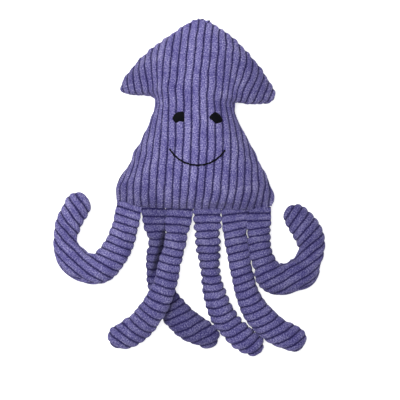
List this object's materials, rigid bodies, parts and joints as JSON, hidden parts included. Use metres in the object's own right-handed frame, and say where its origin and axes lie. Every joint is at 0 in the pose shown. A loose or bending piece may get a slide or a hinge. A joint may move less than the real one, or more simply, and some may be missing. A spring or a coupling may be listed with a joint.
{
  "type": "squid dog toy",
  "caption": "Stuffed corduroy squid for a dog to carry and shake, with an arrow-shaped head, a bell body, seamed tentacles that swing at their roots and a squeaker inside.",
  "frame": {"origin": "on the floor, under the middle of the toy's outline as it lies on its back", "axes": "+Z out of the belly, +Y up the body towards the tip of the head, +X towards the right of the picture"},
  "size_m": [0.2716, 0.3396, 0.0453],
  "materials": {
    "corduroy": "jumbo-wale corduroy, soft pile, matt",
    "fibre": "loose polyester fibre",
    "black_thread": "satin-stitched embroidery thread",
    "clear_vinyl": "soft moulded vinyl, milky",
    "hard_plastic": "moulded polyethylene"
  },
  "bodies": {
    "mantle": {"mantle_front_panel": "corduroy", "mantle_back_panel": "corduroy", "mantle_filling": "fibre", "squeaker_bellows": "clear_vinyl", "left_eye": "black_thread", "right_eye": "black_thread", "mouth_stitching": "black_thread"},
    "squeaker_cap": {"squeaker_reed_cap": "hard_plastic", "squeaker_reed": "hard_plastic"},
    "tentacle_1": {"tentacle_1_front_panel": "corduroy", "tentacle_1_back_panel": "corduroy", "tentacle_1_filling": "fibre"},
    "tentacle_2": {"tentacle_2_front_panel": "corduroy", "tentacle_2_back_panel": "corduroy", "tentacle_2_filling": "fibre"},
    "tentacle_3": {"tentacle_3_front_panel": "corduroy", "tentacle_3_back_panel": "corduroy", "tentacle_3_filling": "fibre"},
    "tentacle_4": {"tentacle_4_front_panel": "corduroy", "tentacle_4_back_panel": "corduroy", "tentacle_4_filling": "fibre"},
    "tentacle_5": {"tentacle_5_front_panel": "corduroy", "tentacle_5_back_panel": "corduroy", "tentacle_5_filling": "fibre"},
    "tentacle_6": {"tentacle_6_front_panel": "corduroy", "tentacle_6_back_panel": "corduroy", "tentacle_6_filling": "fibre"}
  },
  "joints": [
    {"name": "tentacle_1_seam", "type": "hinge", "parent": "mantle", "child": "tentacle_1", "pos_m": [-0.05943, -0.02041, 0.0135], "axis": [-0.9799, 0.1994, 0], "range_deg": [-80, 80]},
    {"name": "tentacle_2_seam", "type": "hinge", "parent": "mantle", "child": "tentacle_2", "pos_m": [-0.03472, -0.02464, 0.0135], "axis": [-0.9995, -0.0332, 0], "range_deg": [-80, 0]},
    {"name": "tentacle_3_seam", "type": "hinge", "parent": "mantle", "child": "tentacle_3", "pos_m": [-0.00927, -0.02537, 0.0135], "axis": [-0.9983, 0.0576, 0], "range_deg": [0, 80]},
    {"name": "tentacle_4_seam", "type": "hinge", "parent": "mantle", "child": "tentacle_4", "pos_m": [0.0188, -0.02725, 0.0135], "axis": [-0.9986, -0.0523, 0], "range_deg": [-80, 80]},
    {"name": "tentacle_5_seam", "type": "hinge", "parent": "mantle", "child": "tentacle_5", "pos_m": [0.04594, -0.02636, 0.0135], "axis": [-0.9996, -0.0297, 0], "range_deg": [-80, 80]},
    {"name": "tentacle_6_seam", "type": "hinge", "parent": "mantle", "child": "tentacle_6", "pos_m": [0.07008, -0.02597, 0.0135], "axis": [-1, 0.0087, 0], "range_deg": [-80, 80]},
    {"name": "squeaker_press", "type": "slide", "parent": "mantle", "child": "squeaker_cap", "axis": [0, 0, 1], "range_m": [0, 0.005], "stiffness_N_per_m": 1500, "deforming": ["squeaker_bellows"]}
  ]
}
